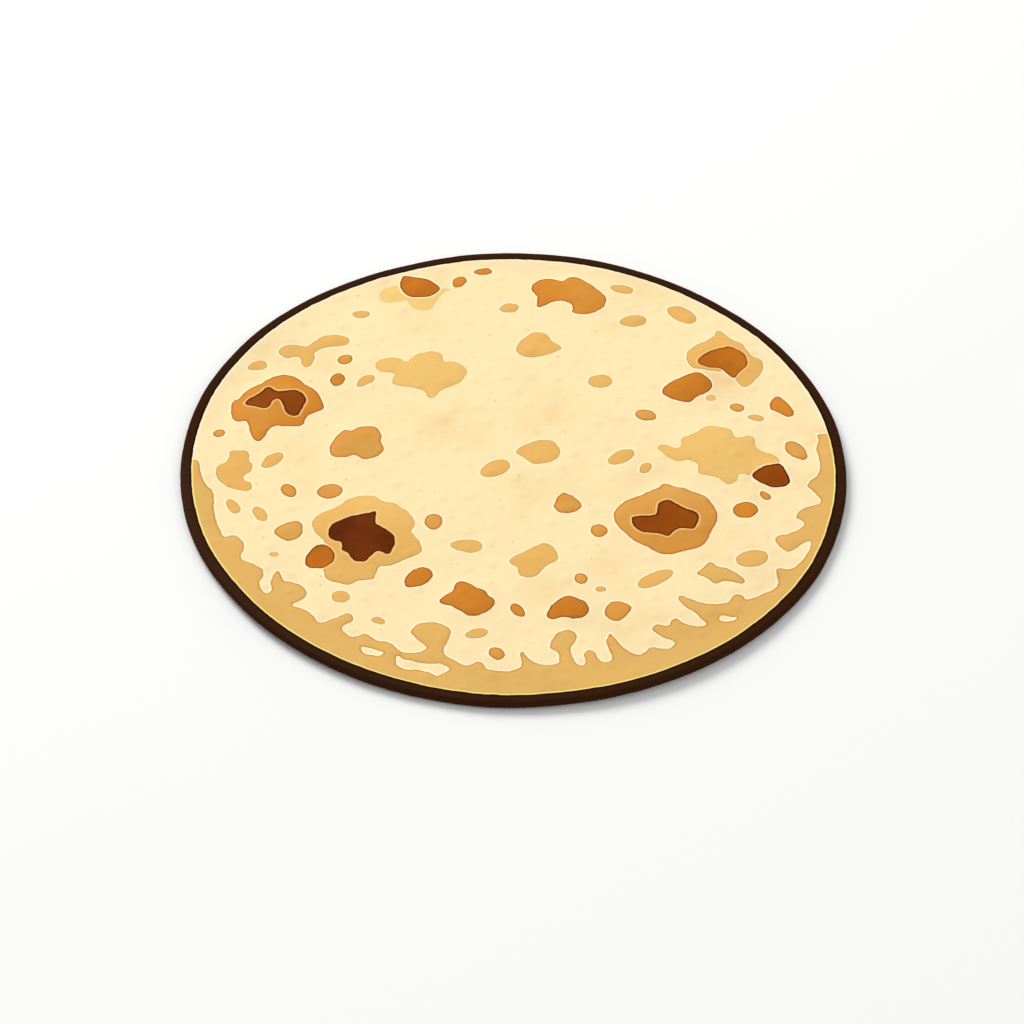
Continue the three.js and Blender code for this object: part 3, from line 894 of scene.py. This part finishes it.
crust = {  # how the baked dough looks; sizes, depths and insets in millimetres
    "cream": "#F3DCA9",
    "deepCream": "#EBCF97",
    "scorch": "#E9BE82",
    "flour": "#F6EBC9",
    "bran": "#D9AE70",
    "goldLine": "#EDC27A",
    "rim": "#351B09",
    "rimEdge": "#140A04",
    # a painted highlight along the rim's rounded edge, where the line beside the rim lies on the front band
    "rimHighlight": "#F6DC80",
    "noises": {"mottle": (24.0, 5.0), "waver": (2.2, 3.0), "grain": (0.45, 2.0)},  # size and detail
    # pairs of limits: none of it at the first value, all of it from the second
    "deepMottle": (0.5, 0.85),
    "branReach": (0.34, 0.1),  # from a cell's middle, in cells
    "branChance": (0.8, 1.0),  # only the cells with a high number hold a freckle
    "flourDepths": (-0.675, -0.36),  # the pale line outside a mark
    "flourTones": (0.08, 0.3),  # the palest marks have hardly any of it
    "markDepths": (-0.06, 0.06),
    "goldDepths": (0.2, 0.8),  # an inner mark's pale line turns gold where it lies on a patch
    "goldTones": (0.1, 0.25),  # that isn't one of the palest
    # where the line beside the rim becomes the painted gold highlight
    "highlightDepths": (-0.2, 0.2),  # the line beside the rim turns gold on a patch
    "besideInsets": (0.5, 0.3),  # the thin line beside the rim, past the rim's width
    "edgeInsets": (-0.7, -0.35),  # the rim's darker inner edge, past the rim's width
    "rimInsets": (0.1, -0.1),
    "flourStrength": 0.8,
    "branSpacing": 1.6,
    "waver": 0.4,  # how far an outline can waver either way
    "rimWaver": 0.5,  # the share of it that the rim takes
    "rimWidth": 3.1,
    "edgeTone": 0.6,  # how much browner a mark is along its edge, least where it is pale or black
    "edgeFull": 0.24,  # it is at full strength this far in,
    "edgeEnd": 0.72,  # and ends here
    "patchiness": 0.03,  # how much browner or paler a mark is in places
    "patchMottle": (0.3, 0.7),
    "creamRoughness": 0.82,
    "toastRoughness": 0.6,
    "roughDepths": (0.0, 0.4),  # from cream to toast
    "gloss": 0.02,
    "grainRise": 0.1,
    "grainStrength": 0.5,
}

# The stages of toasting, by tone. Each is picked a shade darker than it should look, because the
# studio's lights lift it.
toastColours = [
    (0.05, "#EBC678"),  # pale gold
    (0.25, "#E0AC5C"),  # gold
    # tan is the front band's colour: toasting, with painted shade in it
    (0.32, "#D8AC60"),  # tan
    (0.48, "#D0862E"),  # amber
    (0.64, "#BC6C1C"),  # rust
    (0.80, "#8E440A"),  # brown
    (0.88, "#602604"),  # charred
    (1.00, "#3C1804"),  # burnt
]


# Lays one colour over another. Its strength is the product of how far each value has gone between its two
# limits, eased at both.
def layOver(tree, below, above, *reached, strength=1.0):
    for value, (start, end) in reached:
        inputs = {"Value": value, "From Min": start, "From Max": end}
        share = addNode(tree, "ShaderNodeMapRange", inputs, interpolation_type="SMOOTHSTEP")
        strength = addNode(tree, "ShaderNodeMath", {0: strength, 1: share}, operation="MULTIPLY")
    inputs = {"Factor": strength, "A": below, "B": above}
    return addNode(tree, "ShaderNodeMix", inputs, data_type="RGBA")


def toastRamp(tree, tone):
    node = addNode(tree, "ShaderNodeValToRGB", {"Fac": tone}).node
    stops = node.color_ramp.elements
    while len(stops) < len(toastColours):
        stops.new(1.0)
    for stop, (position, hexColour) in zip(stops, toastColours):
        stop.position = position
        stop.color = toLinear(hexColour)
    return node.outputs["Color"]


# Cream dough: mottled, scorched here and there, with a few freckles of bran.
def bareDough(tree, place, mottle, wash):
    plain = layOver(tree, crust["cream"], crust["deepCream"], (mottle, crust["deepMottle"]))
    washed = {"Factor": wash, "A": plain, "B": crust["scorch"]}
    scorched = addNode(tree, "ShaderNodeMix", washed, data_type="RGBA")
    cells = {"Vector": place, "Scale": 1 / (crust["branSpacing"] * mm)}
    fromMiddle = (addNode(tree, "ShaderNodeTexVoronoi", cells), crust["branReach"])
    chance = (addNode(tree, "ShaderNodeTexVoronoi", cells, output="Color"), crust["branChance"])
    return layOver(tree, scorched, crust["bran"], fromMiddle, chance)


# One layer of toasted marks over a colour: a pale line just outside each, and a browner one along its
# edge. The palest marks have hardly any of either.
def toastOver(tree, colour, depth, tone, mottle, line):
    beside = ((depth, crust["flourDepths"]), (tone, crust["flourTones"]))
    colour = layOver(tree, colour, line, *beside, strength=crust["flourStrength"])
    edge = addNode(
        tree,
        "ShaderNodeMapRange",
        {
            "Value": depth,
            "From Min": crust["edgeFull"],
            "From Max": crust["edgeEnd"],
            "To Min": crust["edgeTone"],
            "To Max": 0.0,
        },
        interpolation_type="SMOOTHSTEP",
    )
    paleness = addNode(tree, "ShaderNodeMath", {0: 1.0, 1: tone}, operation="SUBTRACT")
    for share in (tone, paleness):
        edge = addNode(tree, "ShaderNodeMath", {0: edge, 1: share}, operation="MULTIPLY")
    patchy = addNode(
        tree,
        "ShaderNodeMapRange",
        {
            "Value": mottle,
            "From Min": crust["patchMottle"][0],
            "From Max": crust["patchMottle"][1],
            "To Min": -crust["patchiness"],
            "To Max": crust["patchiness"],
        },
        interpolation_type="SMOOTHSTEP",
    )
    for change in (edge, patchy):
        tone = addNode(tree, "ShaderNodeMath", {0: tone, 1: change}, operation="ADD")
    return layOver(tree, colour, toastRamp(tree, tone), (depth, crust["markDepths"]))


# The charred rim, nearly black along its inner edge. The thin line beside it is floury on bare dough, and
# where it lies on a toasted patch, which along the rim is the front band, it is a painted gold highlight on
# the rim's rounded edge.
def rimOver(tree, colour, inset, patch):
    insets = {
        name: (inset, [crust["rimWidth"] + past for past in crust[name]])
        for name in ("besideInsets", "edgeInsets", "rimInsets")
    }
    # the gold here is a painted highlight on the rim's rounded edge
    beside = layOver(tree, crust["flour"], crust["rimHighlight"], (patch, crust["highlightDepths"]))
    colour = layOver(tree, colour, beside, insets["besideInsets"])
    char = layOver(tree, crust["rim"], crust["rimEdge"], insets["edgeInsets"])
    return layOver(tree, colour, char, insets["rimInsets"])


# Baked wheat dough: matt and floury where it is pale, a little smoother and glossier where it is
# toasted, with a charred rim.
def bakedDough():
    material = bpy.data.materials.new("bakedWheatDough")
    material.use_nodes = True
    tree = material.node_tree
    shader = tree.nodes["Principled BSDF"]

    names = ("patchDepth", "patchTone", "coreDepth", "coreTone", "wash", "rimInset")
    read = {
        name: addNode(tree, "ShaderNodeAttribute", output="Fac", attribute_name=name) for name in names
    }
    place = addNode(tree, "ShaderNodeTexCoord", output="Object")
    noises = {}
    for name, (size, detail) in crust["noises"].items():
        inputs = {"Vector": place, "Scale": 1 / (size * mm), "Detail": detail}
        noises[name] = addNode(tree, "ShaderNodeTexNoise", inputs)

    # every outline wavers a little
    limits = {"To Min": -crust["waver"], "To Max": crust["waver"]}
    waver = addNode(tree, "ShaderNodeMapRange", {"Value": noises["waver"], **limits})
    rimShare = {0: waver, 1: crust["rimWaver"]}
    rimWaver = addNode(tree, "ShaderNodeMath", rimShare, operation="MULTIPLY")
    patch, core, inset = (
        addNode(tree, "ShaderNodeMath", {0: read[name], 1: change}, operation="ADD")
        for name, change in (("patchDepth", waver), ("coreDepth", waver), ("rimInset", rimWaver))
    )

    colour = bareDough(tree, place, noises["mottle"], read["wash"])
    colour = toastOver(tree, colour, patch, read["patchTone"], noises["mottle"], crust["flour"])
    onGold = ((patch, crust["goldDepths"]), (read["patchTone"], crust["goldTones"]))
    line = layOver(tree, crust["flour"], crust["goldLine"], *onGold)
    colour = toastOver(tree, colour, core, read["coreTone"], noises["mottle"], line)
    colour = rimOver(tree, colour, inset, patch)
    tree.links.new(colour, shader.inputs["Base Color"])

    roughness = addNode(
        tree,
        "ShaderNodeMapRange",
        {
            "Value": patch,
            "From Min": crust["roughDepths"][0],
            "From Max": crust["roughDepths"][1],
            "To Min": crust["creamRoughness"],
            "To Max": crust["toastRoughness"],
        },
        interpolation_type="SMOOTHSTEP",
    )
    tree.links.new(roughness, shader.inputs["Roughness"])
    shader.inputs["Specular IOR Level"].default_value = crust["gloss"]

    # fine grain of the flour, drawn coarser than it is so that it shows
    relief = {
        "Height": noises["grain"],
        "Strength": crust["grainStrength"],
        "Distance": crust["grainRise"] * mm,
    }
    tree.links.new(addNode(tree, "ShaderNodeBump", relief), shader.inputs["Normal"])
    return material


def makeBread():
    material = bakedDough()
    bread = bpy.data.objects.new("rotiBread", makeBreadMesh())
    bpy.context.scene.collection.objects.link(bread)
    print("bread: shaped and marked,", len(bread.data.polygons), "triangles")
    textureBread(bread, material)
    print("bread: blisters, wrinkles and crumb added")
    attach(bread, "root")
    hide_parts("roti")


makeBread()
